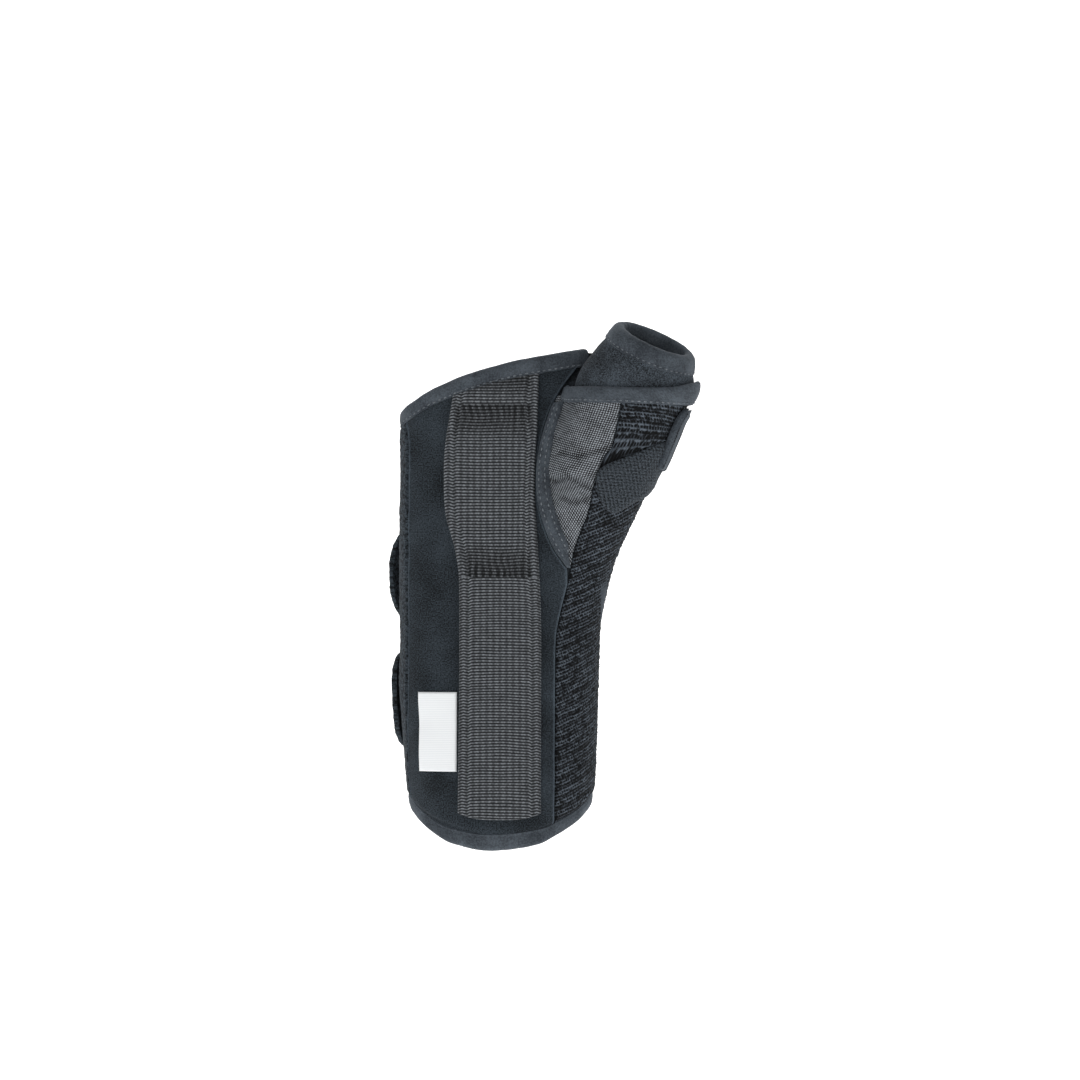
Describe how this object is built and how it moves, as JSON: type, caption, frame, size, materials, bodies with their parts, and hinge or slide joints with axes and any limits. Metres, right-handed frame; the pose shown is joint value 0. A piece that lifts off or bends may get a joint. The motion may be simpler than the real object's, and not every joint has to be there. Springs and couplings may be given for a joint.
{
  "type": "thumb spica splint",
  "caption": "Soft wrist and thumb support: a foam wrap with a palm stay pocket, canvas thumb panel, loop pile sides, bound edges and closing straps.",
  "frame": {"origin": "centre of the wrist hollow, where the wrist carries the splint", "axes": "+Z from the forearm to the fingers, +X to the thumb side, -Y to the palm side"},
  "size_m": [0.1196, 0.0706, 0.2053],
  "materials": {
    "foam_laminate": "soft matte knit over foam",
    "neoprene": "fine matte jersey over neoprene",
    "brushed_knit": "brushed unbroken loop, dull",
    "loop_pile": "napped loop pile",
    "ribbed_loop_pile": "loop pile in slanting ribs",
    "canvas": "coarse woven nylon, slight sheen",
    "elastic_webbing": "knitted elastic with cross ribs",
    "binding_tape": "smooth folded stretch tape",
    "tab_knit": "dense warp knit",
    "label_tape": "white satin tape"
  },
  "bodies": {
    "root": {"wrap_shell": "foam_laminate", "thumb_collar": "neoprene", "palm_panel": "brushed_knit", "ulnar_loop_cover": "loop_pile", "radial_loop_panel": "ribbed_loop_pile", "spica_panel": "canvas", "palm_stay_pocket": "elastic_webbing", "hand_edge_binding": "binding_tape", "forearm_edge_binding": "binding_tape", "thumb_collar_binding": "binding_tape", "spica_edge_binding": "binding_tape", "spica_top_binding": "binding_tape", "thumb_tab": "tab_knit", "thumb_strap": "tab_knit", "wrist_strap": "loop_pile", "forearm_strap": "loop_pile", "side_label": "label_tape"}
  },
  "joints": []
}
